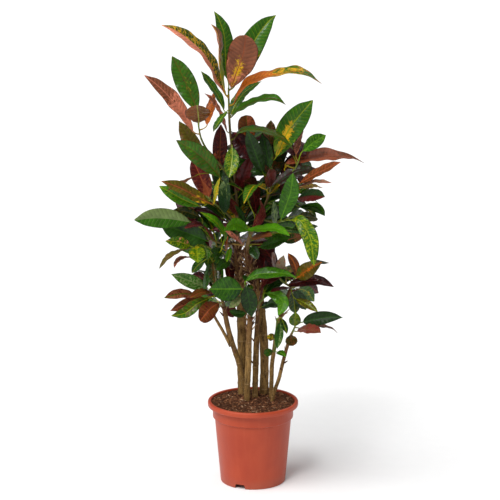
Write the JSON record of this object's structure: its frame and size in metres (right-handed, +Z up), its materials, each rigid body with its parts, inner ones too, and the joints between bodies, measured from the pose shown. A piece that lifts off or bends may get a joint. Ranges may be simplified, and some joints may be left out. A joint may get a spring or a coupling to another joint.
{
  "type": "potted croton",
  "caption": "Tall potted croton: bare woody canes rise from a plain tapered nursery pot of soil and carry a dense crown of broad, pointed, variegated leaves.",
  "frame": {"origin": "on the pot's axis at the surface it stands on, which is also the middle of the plant's spread", "axes": "+Z up along the pot's axis, +X to the viewer's right, -Y towards the front from which the plant was laid out"},
  "size_m": [0.5227, 0.358, 1.0867],
  "materials": {
    "pot": "satin moulded plastic, terracotta red",
    "soil": "coarse brown potting soil with bark chips",
    "bark": "rough grey-brown bark with leaf scars",
    "foliage": "glossy leaves, variegated green, yellow, orange, pink and maroon"
  },
  "bodies": {
    "root": {"pot": "pot", "soil": "soil", "cane_main": "bark", "cane_right": "bark", "cane_front": "bark", "cane_left": "bark", "cane_thin": "bark", "cane_back": "bark", "cane_outer": "bark", "leaves_main": "foliage", "leaves_right": "foliage", "leaves_front": "foliage", "leaves_left": "foliage", "leaves_thin": "foliage", "leaves_back": "foliage", "leaves_outer": "foliage", "leaves_sprout": "foliage"}
  },
  "joints": []
}
